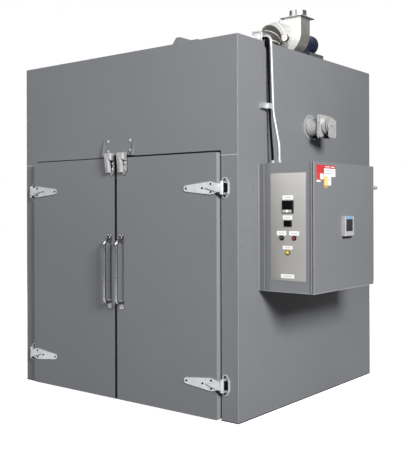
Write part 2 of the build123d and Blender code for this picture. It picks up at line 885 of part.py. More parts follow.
def blower_pedestal():
    """Folded stand under the motor."""
    x0 = scroll_right - pedestal_width
    y1 = blower_back + pedestal_length
    t = pedestal_sheet
    top = cabinet_height + pedestal_height
    stand = block(x0, scroll_right, blower_back, y1, cabinet_height, top)
    return stand - block(x0 + t, scroll_right - t, blower_back, y1, cabinet_height, top - t)


def airflow_switch():
    """Round airflow switch on two legs beside the intake."""
    x = blower_x + switch_beside_shaft
    y0 = blower_front - switch_before_blower - switch_depth
    z = cabinet_height + switch_height
    body = rod_y(x, y0, y0 + switch_depth, z, switch_radius)
    half = switch_leg_width / 2
    y = y0 + switch_depth / 2
    for direction in (-1, 1):
        leg_x = x + direction * switch_leg_spacing / 2
        body += block(leg_x - half, leg_x + half, y - half, y + half, cabinet_height, z - switch_radius / 2)
    return body


def drive_guard():
    """Sheet guard over the circulating fan's drive: a sloped fin in front of a low box."""
    y0 = front + guard_from_front
    body_front = front + guard_body_from_front
    body_back = body_front + guard_body_length
    x0 = guard_x - guard_width / 2
    x1 = guard_x + guard_width / 2
    z0 = cabinet_height
    z1 = z0 + guard_height
    fin = [(y0, z0), (body_front, z0), (body_front, z1), (front + guard_top_from_front, z1)]
    cover = prism_x(fin, x0, x1) + block(x0, x0 + guard_body_width, body_front, body_back, z0, z1)
    rim = guard_flange
    return cover + block(x0 - rim, x0 + guard_body_width + rim, y0 - rim, body_back + rim,
                         z0, z0 + guard_flange_thickness)


def mirrored(shape):
    return mirror(shape, about=Plane.YZ)


def save(name, shape):
    shape.label = name
    export_step(shape, f"parts/{name}.step")


os.makedirs("parts", exist_ok=True)
seam_y = rear - rear_panel_length
save("left_wall_front", side_wall(-1, post_back, seam_y))
save("left_wall_rear", side_wall(-1, seam_y, rear))
save("right_wall_front", side_wall(1, post_back, seam_y))
save("right_wall_rear", side_wall(1, seam_y, rear))
save("rear_wall", rear_wall())
save("roof_panel", roof_panel())
save("floor_panel", floor_panel())
save("front_header", front_header())
save("front_post_left", front_post(-1))
save("front_post_right", front_post(1))
save("door_gasket", door_gasket())
save("latch_bracket", latch_bracket())

hinge_heights = (leaf_ground_gap + lower_hinge_above_bottom, leaf_top - upper_hinge_below_top)
brackets = Compound(children=[hinge_bracket(z) for z in hinge_heights])
straps = Compound(children=[strap(z) for z in hinge_heights])
save("right_hinge_brackets", brackets)
save("left_hinge_brackets", mirrored(brackets))
save("right_door_straps", straps)
save("left_door_straps", mirrored(straps))
save("right_door_leaf", door_leaf(1))
save("left_door_leaf", door_leaf(-1))
save("right_door_handle", door_handle())
save("left_door_handle", mirrored(door_handle()))
save("right_door_latch", door_latch(1))
save("left_door_latch", door_latch(-1))

save("enclosure_mount_frame", mount_frame())
save("control_enclosure", control_enclosure())
save("enclosure_subpanel", subpanel())
save("operator_panel", operator_panel())
save("temperature_controller", panel_device(controller_size, controller_size, controller_z))
save("limit_controller", panel_device(limit_width, limit_size, limit_z))
save("push_buttons", push_buttons())
save("control_door", control_door())
save("control_door_clamp", door_clamp())
save("display_unit", display_unit())

save("conduit", conduit())
save("black_cable", black_cable())
save("conduit_fittings", conduit_fittings())
save("conduit_strut", conduit_strut())
save("roof_junction_box", junction_box())
save("inlet_collar", inlet_collar())
save("inlet_damper", inlet_damper())

save("blower_scroll", blower_scroll())
save("blower_outlet", blower_outlet())
save("blower_intake", blower_intake())
save("blower_motor", blower_motor())
save("blower_pedestal", blower_pedestal())
save("airflow_switch", airflow_switch())
save("fan_drive_guard", drive_guard())
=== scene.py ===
import json
from math import cos, pi, radians, sin

import bmesh
import bpy
from mathutils import Matrix, Vector


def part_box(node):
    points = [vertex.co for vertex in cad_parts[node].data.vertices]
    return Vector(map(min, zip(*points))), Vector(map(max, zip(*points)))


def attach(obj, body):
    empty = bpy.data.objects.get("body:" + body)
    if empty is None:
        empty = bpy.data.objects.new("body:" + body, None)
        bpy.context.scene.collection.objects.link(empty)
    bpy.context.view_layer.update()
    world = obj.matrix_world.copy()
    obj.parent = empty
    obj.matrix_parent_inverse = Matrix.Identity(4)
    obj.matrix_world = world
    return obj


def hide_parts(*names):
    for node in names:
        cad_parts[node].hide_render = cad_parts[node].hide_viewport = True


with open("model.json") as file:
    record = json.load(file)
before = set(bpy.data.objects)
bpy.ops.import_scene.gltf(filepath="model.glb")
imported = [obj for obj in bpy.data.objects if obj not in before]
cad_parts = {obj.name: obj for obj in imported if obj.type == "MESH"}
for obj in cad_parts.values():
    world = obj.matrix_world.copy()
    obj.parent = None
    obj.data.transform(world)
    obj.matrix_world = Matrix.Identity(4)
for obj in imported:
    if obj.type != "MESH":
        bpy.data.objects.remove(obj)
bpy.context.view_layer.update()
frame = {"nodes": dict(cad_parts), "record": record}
nodes = frame["nodes"]


# Camera

CAMERA_PLACE = (4.4668, -5.6272, 1.6008)
CAMERA_TURN = radians(38.07)
CAMERA_ROLL = radians(-0.15)
FOCAL_PIXELS = 754.0
PHOTO_HEIGHT = 455
HORIZON_ROW = 208.1


def make_camera():
    data = bpy.data.cameras.new("camera")
    camera = bpy.data.objects.new("camera", data)
    bpy.context.scene.collection.objects.link(camera)
    forward = Vector((-sin(CAMERA_TURN), cos(CAMERA_TURN), 0))
    level = Vector((cos(CAMERA_TURN), sin(CAMERA_TURN), 0))
    upright = Vector((0, 0, 1))
    right = level * cos(CAMERA_ROLL) + upright * sin(CAMERA_ROLL)
    up = upright * cos(CAMERA_ROLL) - level * sin(CAMERA_ROLL)
    turn = Matrix((right, up, -forward)).transposed()
    camera.matrix_world = Matrix.Translation(CAMERA_PLACE) @ turn.to_4x4()
    data.sensor_fit = "AUTO"
    data.sensor_width = 36
    data.lens = FOCAL_PIXELS / PHOTO_HEIGHT * data.sensor_width
    data.shift_y = (HORIZON_ROW - PHOTO_HEIGHT / 2) / PHOTO_HEIGHT
    data.clip_end = 100
    bpy.context.scene.camera = camera


make_camera()


# Materials

def node(tree, kind, **sockets):
    """A shader node with its sockets set. Spaces in a socket's name are written as underscores."""
    made = tree.nodes.new("ShaderNode" + kind)
    for name, value in sockets.items():
        made.inputs[name.replace("_", " ")].default_value = value
    return made


def link(tree, source, target):
    tree.links.new(source, target)


def start_material(name):
    material = bpy.data.materials.new(name)
    material.use_nodes = True
    tree = material.node_tree
    return material, tree, tree.nodes["Principled BSDF"]


def noise_value(tree, coordinates, scale, detail=3.0, stretch=(1, 1, 1)):
    mapping = node(tree, "Mapping", Scale=stretch)
    link(tree, coordinates, mapping.inputs["Vector"])
    noise = node(tree, "TexNoise", Scale=scale, Detail=detail)
    link(tree, mapping.outputs["Vector"], noise.inputs["Vector"])
    return noise.outputs["Fac"]


def ranged(tree, value, low, high, source_low=0.3, source_high=0.7):
    made = node(tree, "MapRange", From_Min=source_low, From_Max=source_high, To_Min=low, To_Max=high)
    link(tree, value, made.inputs["Value"])
    return made.outputs["Result"]


def mixed(tree, factor, first, second):
    """Mix of two colours, each a tuple or a socket."""
    mix = tree.nodes.new("ShaderNodeMix")
    mix.data_type = "RGBA"
    link(tree, factor, mix.inputs["Factor"])
    for socket, value in ((mix.inputs[6], first), (mix.inputs[7], second)):
        if isinstance(value, tuple):
            socket.default_value = (*value, 1)
        else:
            link(tree, value, socket)
    return mix.outputs[2]


def calculated(tree, operation, first, second):
    """Result of a Math node on a socket and on a second socket or a number."""
    made = tree.nodes.new("ShaderNodeMath")
    made.operation = operation
    link(tree, first, made.inputs[0])
    if isinstance(second, float):
        made.inputs[1].default_value = second
    else:
        link(tree, second, made.inputs[1])
    return made.outputs["Value"]


def scaled(colour, factor):
    return tuple(min(1.0, channel * factor) for channel in colour)


def surface(name, colour, metal=0.0, rough=0.4, rough_spread=0.08, tone=0.06, tone_scale=2.5,
            grain=0.05, grain_scale=700.0, stretch=(1, 1, 1), dirt=0.0, coat=0.0, specular=0.5):
    """A finish with drifting tone, uneven gloss, fine grain and some dirt in patches."""
    material, tree, shader = start_material(name)
    place = node(tree, "TexCoord").outputs["Object"]
    broad = noise_value(tree, place, tone_scale, 4.0)
    drift = ranged(tree, broad, 0, 1)
    base = mixed(tree, drift, scaled(colour, 1 - tone), scaled(colour, 1 + tone))
    if dirt:
        patches = noise_value(tree, place, tone_scale * 7, 6.0)
        base = mixed(tree, ranged(tree, patches, 0, dirt, 0.52, 0.75), base, scaled(colour, 0.55))
    link(tree, base, shader.inputs["Base Color"])
    fine = noise_value(tree, place, grain_scale, 2.0, stretch)
    uneven = noise_value(tree, place, tone_scale * 3, 5.0, stretch)
    gloss = ranged(tree, uneven, rough - rough_spread, rough + rough_spread)
    link(tree, gloss, shader.inputs["Roughness"])
    bump = node(tree, "Bump", Strength=grain, Distance=0.001)
    link(tree, fine, bump.inputs["Height"])
    link(tree, bump.outputs["Normal"], shader.inputs["Normal"])
    shader.inputs["Metallic"].default_value = metal
    shader.inputs["Specular IOR Level"].default_value = specular
    if coat:
        shader.inputs["Coat Weight"].default_value = coat
        shader.inputs["Coat Roughness"].default_value = 0.2
    return material


def paint_over(material, mask, where_zero=None, where_one=None):
    """Mixes another base colour into a material by a mask. The side left out keeps its colour."""
    tree = material.node_tree
    base = tree.nodes["Principled BSDF"].inputs["Base Color"]
    kept = base.links[0].from_socket
    link(tree, mixed(tree, mask, where_zero or kept, where_one or kept), base)


PAINT = (0.205, 0.210, 0.222)
LINER = (0.52, 0.53, 0.53)


def cabinet_finish(name, inside):
    """Grey enamel outside and bare aluminised sheet inside.

    inside gives, for each axis that it names, the lowest and highest place of the bare region."""
    material = surface(name, PAINT, rough=0.32, tone=0.03, tone_scale=0.9, grain=0.05,
                       grain_scale=420, specular=0.06)
    tree = material.node_tree
    shader = tree.nodes["Principled BSDF"]
    place = node(tree, "TexCoord").outputs["Object"]
    parts = node(tree, "SeparateXYZ")
    link(tree, place, parts.inputs["Vector"])
    tests = []
    for axis, (low, high) in inside.items():
        tests.append(calculated(tree, "GREATER_THAN", parts.outputs[axis], low))
        tests.append(calculated(tree, "LESS_THAN", parts.outputs[axis], high))
    mask = tests[0]
    for other in tests[1:]:
        mask = calculated(tree, "MULTIPLY", mask, other)
    spangle = node(tree, "TexVoronoi", Scale=45.0)
    link(tree, place, spangle.inputs["Vector"])
    bare = mixed(tree, spangle.outputs["Distance"], scaled(LINER, 0.82), scaled(LINER, 1.1))
    paint_over(material, mask, where_one=bare)
    metallic = node(tree, "MapRange", To_Max=0.75)
    link(tree, mask, metallic.inputs["Value"])
    link(tree, metallic.outputs["Result"], shader.inputs["Metallic"])
    return material


# The bare sheet lines the chamber, and covers the backs of the leaves
LINER_MARGIN = 0.001
FRAME_RETURN = 0.012
ROOF_SKIN = 0.05
BEYOND = 1.0
chamber_low, chamber_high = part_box("floor_panel")
leaf_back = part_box("door_gasket")[0].y - 0.0003
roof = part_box("roof_panel")[1].z
bare_chamber = {"X": (chamber_low.x - LINER_MARGIN, chamber_high.x + LINER_MARGIN),
                "Y": (leaf_back + FRAME_RETURN, chamber_high.y + LINER_MARGIN),
                "Z": (-BEYOND, roof - ROOF_SKIN)}
cabinet_paint = cabinet_finish("cabinet_enamel", bare_chamber)
door_paint = cabinet_finish("door_enamel", {"Y": (leaf_back - 0.0005, BEYOND)})
enclosure_paint = surface("enclosure_enamel", PAINT, rough=0.32, rough_spread=0.03, tone=0.015,
                          tone_scale=1.6, grain=0.04, grain_scale=500, specular=0.06)
plate_steel = surface("brushed_plate", (0.33, 0.323, 0.308), metal=0.8, rough=0.36, rough_spread=0.02,
                      tone=0.03, tone_scale=3, grain=0.03, grain_scale=60, stretch=(1, 1, 22))
bright_steel = surface("bright_sheet", (0.72, 0.72, 0.71), metal=0.9, rough=0.26, tone=0.08,
                       tone_scale=5, grain=0.05, grain_scale=30, dirt=0.15)
zinc = surface("zinc_plate", (0.52, 0.53, 0.54), metal=0.45, rough=0.42, tone=0.08, tone_scale=12,
               grain=0.08, grain_scale=350, dirt=0.2)
polished = surface("polished_tube", (0.24, 0.24, 0.25), metal=1.0, rough=0.2, rough_spread=0.06,
                   tone=0.05, tone_scale=9, grain=0.04, grain_scale=120)
cast = surface("cast_zinc", (0.36, 0.365, 0.36), metal=0.3, rough=0.55, tone=0.12, tone_scale=26,
               grain=0.3, grain_scale=160, dirt=0.45)
galvanised = surface("galvanised", (0.62, 0.63, 0.64), metal=0.5, rough=0.42, tone=0.1, tone_scale=25,
                     grain=0.08, grain_scale=90, dirt=0.1)
gasket_weave = surface("gasket_weave", (0.05, 0.05, 0.045), rough=0.85, tone=0.25, tone_scale=60,
                       grain=0.5, grain_scale=500)
black = surface("black_moulding", (0.010, 0.010, 0.011), rough=0.45, tone=0.2, tone_scale=20,
                grain=0.08, grain_scale=600, specular=0.05)
glass = surface("dark_screen", (0.004, 0.005, 0.006), rough=0.15, rough_spread=0.04, tone=0.2,
                tone_scale=8, grain=0.01, grain_scale=50, specular=0.03)
pale = surface("pale_moulding", (0.44, 0.44, 0.45), rough=0.45, tone=0.05, tone_scale=15, grain=0.06,
               grain_scale=600)


def plate_finish(name, colour, rough=0.45, tone=0.06, tone_scale=30):
    """Plain colour of a plate or a sticker."""
    return surface(name, colour, rough=rough, tone=tone, tone_scale=tone_scale, grain=0.03,
                   grain_scale=500)


white_label = plate_finish("white_plate", (0.86, 0.86, 0.84), 0.5, 0.03)
label_line = plate_finish("plate_line", (0.30, 0.30, 0.31), 0.5, 0.06, 40)
red_label = plate_finish("red_plate", (0.58, 0.030, 0.032), tone=0.08)
rose_label = plate_finish("rose_plate", (0.56, 0.060, 0.060), tone=0.08)
yellow_label = plate_finish("yellow_plate", (0.80, 0.66, 0.22))
orange_label = plate_finish("orange_plate", (0.62, 0.30, 0.12))
blue_strip = plate_finish("blue_strip", (0.20, 0.42, 0.68), 0.4)


def button_finish(name, colour, rough, tone):
    return surface(name, colour, rough=rough, tone=tone, tone_scale=40, grain=0.04, grain_scale=500,
                   coat=0.05)


black_button = button_finish("black_button", (0.02, 0.022, 0.024), 0.3, 0.2)
red_button = button_finish("red_button", (0.22, 0.008, 0.010), 0.28, 0.12)
amber_button = button_finish("amber_button", (0.68, 0.52, 0.09), 0.3, 0.12)
jacket = surface("cable_jacket", (0.004, 0.004, 0.005), rough=0.6, tone=0.2, tone_scale=12, grain=0.08,
                 grain_scale=300, specular=0.02)
motor_enamel = surface("motor_enamel", (0.014, 0.017, 0.040), rough=0.45, tone=0.15, tone_scale=10,
                       grain=0.12, grain_scale=300, dirt=0.1, specular=0.12)
# Near black for painted shade in gaps, in pockets and under pieces, and for the inlet's dark joints.
shade_and_joint_black = surface("painted_shade_and_joints", (0.006, 0.006, 0.007), rough=0.7, tone=0.1, tone_scale=10,
                      specular=0.1)
# Lighter enamel that paints highlights on edges, seams and the right latch's flange.
edge_highlight = surface("painted_edge_highlight", (0.52, 0.53, 0.54), rough=0.34, tone=0.10, tone_scale=8, grain=0.03,
                 specular=0.3)
gold_ring = surface("gold_ring", (0.15, 0.095, 0.014), metal=0.3, tone=0.1, tone_scale=40, grain=0.04,
                    grain_scale=500)
dark_steel = surface("dark_steel", (0.15, 0.14, 0.12), metal=0.55, rough=0.34, rough_spread=0.1,
                     tone=0.25, tone_scale=9, grain=0.06, grain_scale=60, dirt=0.3)
duct_sheet = surface("duct_sheet", (0.64, 0.64, 0.63), metal=0.4, rough=0.28, rough_spread=0.05,
                     tone=0.10, tone_scale=14, grain=0.02, grain_scale=60)
base_paint = surface("base_paint", (0.085, 0.083, 0.088), rough=0.5, tone=0.1, tone_scale=6,
                     grain=0.08, grain_scale=300, dirt=0.1, specular=0.08)
# Lighter copy of the cabinet enamel: a painted highlight on the leaves' lit hinge sides, and the face of
# the wall disc.
light_enamel = surface("light_enamel", (0.275, 0.280, 0.293), rough=0.32, tone=0.03, tone_scale=0.9,
                       grain_scale=420, specular=0.06)
bracket_face = surface("bracket_casting", (0.23, 0.235, 0.24), metal=0.2, rough=0.45, tone=0.15,
                       tone_scale=30, grain=0.2, grain_scale=200, dirt=0.3, specular=0.2)
# Lighter enamel for painted highlight lines along corners and folds.
highlight_enamel = surface("highlight_enamel", (0.34, 0.345, 0.36), rough=0.34, tone=0.05, tone_scale=4,
                      grain=0.04, grain_scale=420, specular=0.1)
fold_shade = surface("fold_shade", (0.150, 0.154, 0.163), tone=0.05, tone_scale=4, grain=0.04,
                     grain_scale=420, specular=0.06)
conduit_zinc = surface("conduit_zinc", (0.50, 0.505, 0.51), metal=0.35, tone=0.08, tone_scale=12,
                       grain=0.06, grain_scale=200)
tinted_screen = surface("tinted_screen", (0.040, 0.042, 0.047), rough=0.2, rough_spread=0.04,
                        tone=0.15, tone_scale=9, grain=0.01, grain_scale=50, specular=0.1)


def scroll_finish():
    """Bright sheet on the sides that face the front and the back, and painted shade in taupe on the
    wrapper between them.
    """
    material = surface("scroll_sheet", (0.86, 0.86, 0.85), metal=0.3, rough=0.3, tone=0.05,
                       tone_scale=5, grain=0.04, grain_scale=40)
    tree = material.node_tree
    facing = node(tree, "SeparateXYZ")
    link(tree, node(tree, "TexCoord").outputs["Normal"], facing.inputs["Vector"])
    square = calculated(tree, "MULTIPLY", facing.outputs["Y"], facing.outputs["Y"])
    shaded_wrapper = ranged(tree, square, 0, 1, 0.4, 0.6)
    paint_over(material, shaded_wrapper, where_zero=(0.250, 0.234, 0.222))
    return material


INTAKE_SPLIT = (-0.1514, 3.0859)
INTAKE_ACROSS = (0, -cos(radians(33.75)), -sin(radians(33.75)))


def intake_finish():
    """Bright sheet on the elbow's first gores and painted shade beyond the split, given as (y, z)."""
    material = surface("intake_sheet", (0.62, 0.62, 0.60), metal=0.4, rough=0.32, tone=0.12,
                       tone_scale=9, grain=0.05, grain_scale=50, dirt=0.25)
    tree = material.node_tree
    along = tree.nodes.new("ShaderNodeVectorMath")
    along.operation = "DOT_PRODUCT"
    along.inputs[1].default_value = INTAKE_ACROSS
    link(tree, node(tree, "TexCoord").outputs["Object"], along.inputs[0])
    split = INTAKE_SPLIT[0] * INTAKE_ACROSS[1] + INTAKE_SPLIT[1] * INTAKE_ACROSS[2]
    shaded_beyond = ranged(tree, along.outputs["Value"], 0, 1, split - 0.001, split + 0.001)
    paint_over(material, shaded_beyond, where_one=(0.045, 0.042, 0.034))
    return material


scroll_steel = scroll_finish()
intake_steel = intake_finish()
smudged_zinc = surface("smudged_zinc", (0.60, 0.60, 0.61), metal=0.3, tone=0.4, tone_scale=34,
                       grain=0.1, grain_scale=120, dirt=0.6)

SLOT_MATERIALS = {
    "cabinet_paint": cabinet_paint, "door_paint": door_paint, "enclosure_paint": enclosure_paint,
    "stainless": plate_steel, "stainless_bright": bright_steel, "zinc_steel": zinc,
    "polished_steel": polished, "cast_zinc": cast, "galvanised": galvanised, "gasket": gasket_weave,
    "black_plastic": black, "grey_plastic": pale, "button_plastic": black_button,
    "cable_jacket": jacket, "motor_paint": motor_enamel,
}
OWN_MATERIALS = {
    "blower_intake": intake_steel, "blower_scroll": scroll_steel, "blower_pedestal": base_paint,
    "inlet_collar": duct_sheet, "inlet_damper": duct_sheet, "blower_outlet": duct_sheet,
    "airflow_switch": dark_steel, "conduit": conduit_zinc, "conduit_fittings": conduit_zinc,
}

for subpart in frame["record"]["subparts"]:
    name = subpart["node"]
    data = nodes[name].data
    data.materials.clear()
    data.materials.append(OWN_MATERIALS.get(name, SLOT_MATERIALS[subpart["material_slot"]]))


def soften(names, width, edge=None):
    """Small rounded edges, as folded sheet has, on CAD nodes that keep their form.

    edge is a lighter finish for the rounded strip itself, a painted highlight along the edges."""
    for name in names:
        bevel = nodes[name].modifiers.new("edge", "BEVEL")
        if edge:
            nodes[name].data.materials.append(edge)
            bevel.material = 1
        bevel.width = width
        bevel.segments = 2
        bevel.limit_method = "ANGLE"
        bevel.angle_limit = radians(50)
        bevel.harden_normals = True


# The walls, posts, header, leaves and enclosure get their rounded edges in the lighter finish as painted
# highlights.
soften(("left_wall_front", "left_wall_rear", "right_wall_front", "right_wall_rear", "rear_wall",
        "roof_panel", "front_header", "front_post_left", "front_post_right"), 0.003, edge_highlight)
soften(("right_door_leaf", "left_door_leaf"), 0.004, edge_highlight)
soften(("enclosure_mount_frame", "control_door", "control_enclosure"), 0.003, edge_highlight)
soften(("display_unit", "fan_drive_guard"), 0.002)


# Shapes

def add_box(bm, low, high):
    made = bmesh.ops.create_cube(bm, size=1.0)["verts"]
    size = Vector(high) - Vector(low)
    centre = (Vector(high) + Vector(low)) / 2
    for vertex in made:
        vertex.co = vertex.co * size + centre


def basis(direction):
    """Rotation that turns +Z into the direction."""
    return Vector((0, 0, 1)).rotation_difference(Vector(direction)).to_matrix()


def add_lathe(bm, origin, direction, profile, segments=24):
    """Surface of revolution: the profile is (radius, distance along the direction) pairs."""
    turn = basis(direction)
    rings = []
    for radius, along in profile:
        ring = []
        count = 1 if radius == 0 else segments
        for index in range(count):
            angle = 2 * pi * index / segments
            local = Vector((radius * cos(angle), radius * sin(angle), along))
            ring.append(bm.verts.new(turn @ local + Vector(origin)))
        rings.append(ring)
    for first, second in zip(rings, rings[1:]):
        for index in range(segments):
            after = (index + 1) % segments
            corners = []
            for vertex in (first[index % len(first)], first[after % len(first)],
                           second[after % len(second)], second[index % len(second)]):
                if vertex not in corners:
                    corners.append(vertex)
            if len(corners) > 2:
                bm.faces.new(corners)


def add_dome_bolt(bm, place, direction, radius):
    """Round bolt head with a low crown."""
    height = radius * 0.62
    profile = [(radius, 0), (radius, height * 0.25), (radius * 0.9, height * 0.6),
               (radius * 0.6, height * 0.9), (0, height)]
    add_lathe(bm, place, direction, profile, 16)


def add_hex_bolt(bm, place, direction, radius):
    """Washer with a six-sided head."""
    washer = [(radius * 1.35, 0), (radius * 1.35, radius * 0.2), (radius, radius * 0.22)]
    add_lathe(bm, place, direction, washer, 20)
    top = radius * 0.85
    head = [(radius, radius * 0.2), (radius, top), (radius * 0.86, top * 1.1), (0, top * 1.1)]
    add_lathe(bm, place, direction, head, 6)


def make_object(name, bm):
    mesh = bpy.data.meshes.new(name)
    bm.to_mesh(mesh)
    bm.free()
    made = bpy.data.objects.new(name, mesh)
    bpy.context.scene.collection.objects.link(made)
    return made


def finish_piece(name, bm, material, body, bevel=0.0):
    bmesh.ops.recalc_face_normals(bm, faces=bm.faces)
    piece = make_object(name, bm)
    piece.data.shade_smooth()
    piece.data.set_sharp_from_angle(angle=radians(38))
    piece.data.materials.append(material)
    if bevel:
        modifier = piece.modifiers.new("edge", "BEVEL")
        modifier.width = bevel
        modifier.segments = 2
        modifier.limit_method = "ANGLE"
        modifier.angle_limit = radians(40)
    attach(piece, body)
    return piece


def boxes(name, corners, material, body, bevel=0.001):
    """One piece of several boxes, each given by its low and its high corner."""
    bm = bmesh.new()
    for low, high in corners:
        add_box(bm, low, high)
    return finish_piece(name, bm, material, body, bevel)


def slabs_y(name, outlines, y0, y1, material, body, bevel=0.0005):
    """Flat pieces with the outlines, each of (x, z) pairs, between two places along Y."""
    bm = bmesh.new()
    for outline in outlines:
        front = [bm.verts.new((x, y0, z)) for x, z in outline]
        back = [bm.verts.new((x, y1, z)) for x, z in outline]
        bm.faces.new(front)
        bm.faces.new(back)
        for index in range(len(outline)):
            after = (index + 1) % len(outline)
            bm.faces.new((front[index], front[after], back[after], back[index]))
    finish_piece(name, bm, material, body, bevel)


def bolts(name, places, direction, radius, material, body, kind=add_dome_bolt):
    bm = bmesh.new()
    for place in places:
        kind(bm, place, direction, radius)
    finish_piece(name, bm, material, body)


def lathes(name, turned, material, body, segments=32):
    """One piece of several surfaces of revolution, each (origin, direction, profile)."""
    bm = bmesh.new()
    for origin, direction, profile in turned:
        add_lathe(bm, origin, direction, profile, segments)
    finish_piece(name, bm, material, body)


def band(inner, outer, width):
    """Profile of a flat ring that starts at its origin."""
    return [(inner, 0), (outer, 0), (outer, width), (inner, width)]


FRONT = (0, -1, 0)
RIGHT = (1, 0, 0)
DOWN = (0, 0, -1)
BODY = "oven_body"
CONTROL = "control_door_panel"
SIDES = ((1, "right"), (-1, "left"))
LINE = 0.0007

# Places read from the frame
leaf_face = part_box("right_door_leaf")[0].y
leaf_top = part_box("right_door_leaf")[1].z
header_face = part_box("front_header")[0].y
header_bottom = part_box("front_header")[0].z
wall_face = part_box("right_wall_front")[1].x


def span(side, inner, outer):
    """Two distances from the middle plane as places along X, the lower first."""
    return sorted((side * inner, side * outer))


# Hinge bolts, and outlines of the pieces on a hinge. All are given by their distance from the pin,
# towards the strap's tip or, on the bracket, towards the cabinet's corner, and from the strap's middle.
PIN_X = 1.097
STRAP_HEIGHTS = (0.273, 1.752)
STRAP_THICKNESS = 0.006
BRACKET_THICKNESS = 0.006
BRACKET_COVER = 0.0006
HINGE_BOLT = 0.0085
STRAP_BOLTS = ((0.334, 0), (0.176, 0), (0.094, 0.031), (0.094, -0.031))
BRACKET_BOLTS = ((0.004, -0.0625), (0.004, 0.0625))
STRAP_SHADOW = ((0.3385, 0.0), (0.336, -0.027), (0.098, -0.0545), (0.047, -0.040), (0.047, 0.0))
RIDGE = ((0.050, 0.030), (0.012, 0.030), (0.012, -0.030), (0.050, -0.030))
RIDGE_SHADE = ((0.150, -0.001), (0.046, -0.0295), (0.012, -0.0295), (0.012, -0.0335),
               (0.047, -0.0335), (0.150, -0.004))
KNUCKLE_SHADOW = ((0.058, -0.0375), (0.016, -0.0375), (0.016, -0.052), (0.050, -0.050))
BRACKET_ENDS = ((-0.008, 0.0745), (0.0155, 0.0745), (0.0405, 0.0395), (-0.014, 0.0395))
BRACKET_POCKET = ((-0.012, 0.0365), (0.028, 0.0365), (0.033, 0.028), (0.033, -0.028),
                  (0.028, -0.0365), (-0.012, -0.0365))
strap_face = leaf_face - STRAP_THICKNESS
bracket_face_y = header_face - BRACKET_THICKNESS
cover_face = bracket_face_y - BRACKET_COVER
# The pads paint shadow along the strap's lower edge, the ridge shades paint shade on the ridge's lower
# side, and the knuckle shadows paint the shadow under the knuckle.
STRAP_PIECES = (
    ("strap_shadow_pads", STRAP_SHADOW, leaf_face - 0.0022, leaf_face, shade_and_joint_black, "gasket", 0.0005),
    ("strap_ridges", RIDGE, strap_face - 0.0082, strap_face, zinc, "zinc_steel", 0.0015),
    ("ridge_shades", RIDGE_SHADE, strap_face - 0.0042, strap_face, dark_steel, "zinc_steel", 0),
    ("knuckle_shadows", KNUCKLE_SHADOW, strap_face + 0.0010, strap_face + 0.0058, shade_and_joint_black, "gasket", 0.001),
)


def at_hinge(outline, side, z, outward, flip=1):
    """An outline at one hinge. outward is 1 towards the corner and -1 towards the strap's tip."""
    return [(side * (PIN_X + outward * across), z + flip * up) for across, up in outline]


def hinge_bolts(side, outward, places, face):
    return [(side * (PIN_X + outward * across), face, z + up)
            for z in STRAP_HEIGHTS for across, up in places]


for side, name in SIDES:
    bolts(name + "_strap_bolts", hinge_bolts(side, -1, STRAP_BOLTS, strap_face), FRONT, HINGE_BOLT,
          black, name + "_door")
    bolts(name + "_bracket_bolts", hinge_bolts(side, 1, BRACKET_BOLTS, cover_face), FRONT, HINGE_BOLT,
          black, BODY)

for side, name in SIDES:
    for kind, outline, y0, y1, material, slot, bevel in STRAP_PIECES:
        slabs_y(f"{name}_{kind}", [at_hinge(outline, side, z, -1) for z in STRAP_HEIGHTS], y0, y1,
                material, name + "_door", bevel)
    ends = [at_hinge(BRACKET_ENDS, side, z, 1, flip) for z in STRAP_HEIGHTS for flip in (1, -1)]
    slabs_y(name + "_bracket_faces", ends, cover_face, bracket_face_y, bracket_face, BODY,
            0.0003)
    # Near-black slab in each pocket: painted shade in the recess.
    pocket_shades = [at_hinge(BRACKET_POCKET, side, z, 1) for z in STRAP_HEIGHTS]
    slabs_y(name + "_bracket_pocket_shades", pocket_shades, bracket_face_y - 0.0004, bracket_face_y + 0.0026,
            shade_and_joint_black, BODY, 0)

# Bolts of the handles' end plates, by their distance from the tube's middle and from the plate's end
HANDLE_PLATE = 0.006
HANDLE_BOLTS = ((-0.014, 0.012), (0.014, 0.012), (0, 0.030))
for side, name in SIDES:
    low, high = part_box(name + "_door_handle")
    centre = (low.x + high.x) / 2
    places = [(centre + across, leaf_face - HANDLE_PLATE, end + inward * along)
              for end, inward in ((high.z, -1), (low.z, 1)) for across, along in HANDLE_BOLTS]
    bolts(name + "_handle_bolts", places, FRONT, 0.0065, zinc, name + "_door")

# Latches: bolts on the bosses, and painted shadow round the plate, reaching furthest below its point
LATCH_PLATE = 0.008
LATCH_BOSS = 0.005
BOSS_ACROSS = 0.0695
BOSS_BELOW_TOP = (0.047, 0.092)
SHADOW_LAP = 0.003
SHADOW_BELOW_TOP = 0.008
SHADOW_SHOULDER = 0.036
SHADOW_POINT = (0.050, -0.006)
plate_face = leaf_face - LATCH_PLATE
for side, name in SIDES:
    low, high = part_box(name + "_door_latch")
    body = name + "_door"
    places = [(low.x + BOSS_ACROSS, plate_face - LATCH_BOSS, leaf_top - below)
              for below in BOSS_BELOW_TOP]
    bolts(name + "_latch_bolts", places, FRONT, 0.0075, zinc, body, add_hex_bolt)
    left, right = low.x - SHADOW_LAP, high.x + SHADOW_LAP
    shoulder = low.z + SHADOW_SHOULDER
    top = leaf_top - SHADOW_BELOW_TOP
    outline = [(left, shoulder), (low.x + SHADOW_POINT[0], low.z + SHADOW_POINT[1]), (right, shoulder),
               (right, top), (left, top)]
    slabs_y(name + "_latch_shadow", [outline], leaf_face - 0.003, leaf_face, shade_and_joint_black, body)

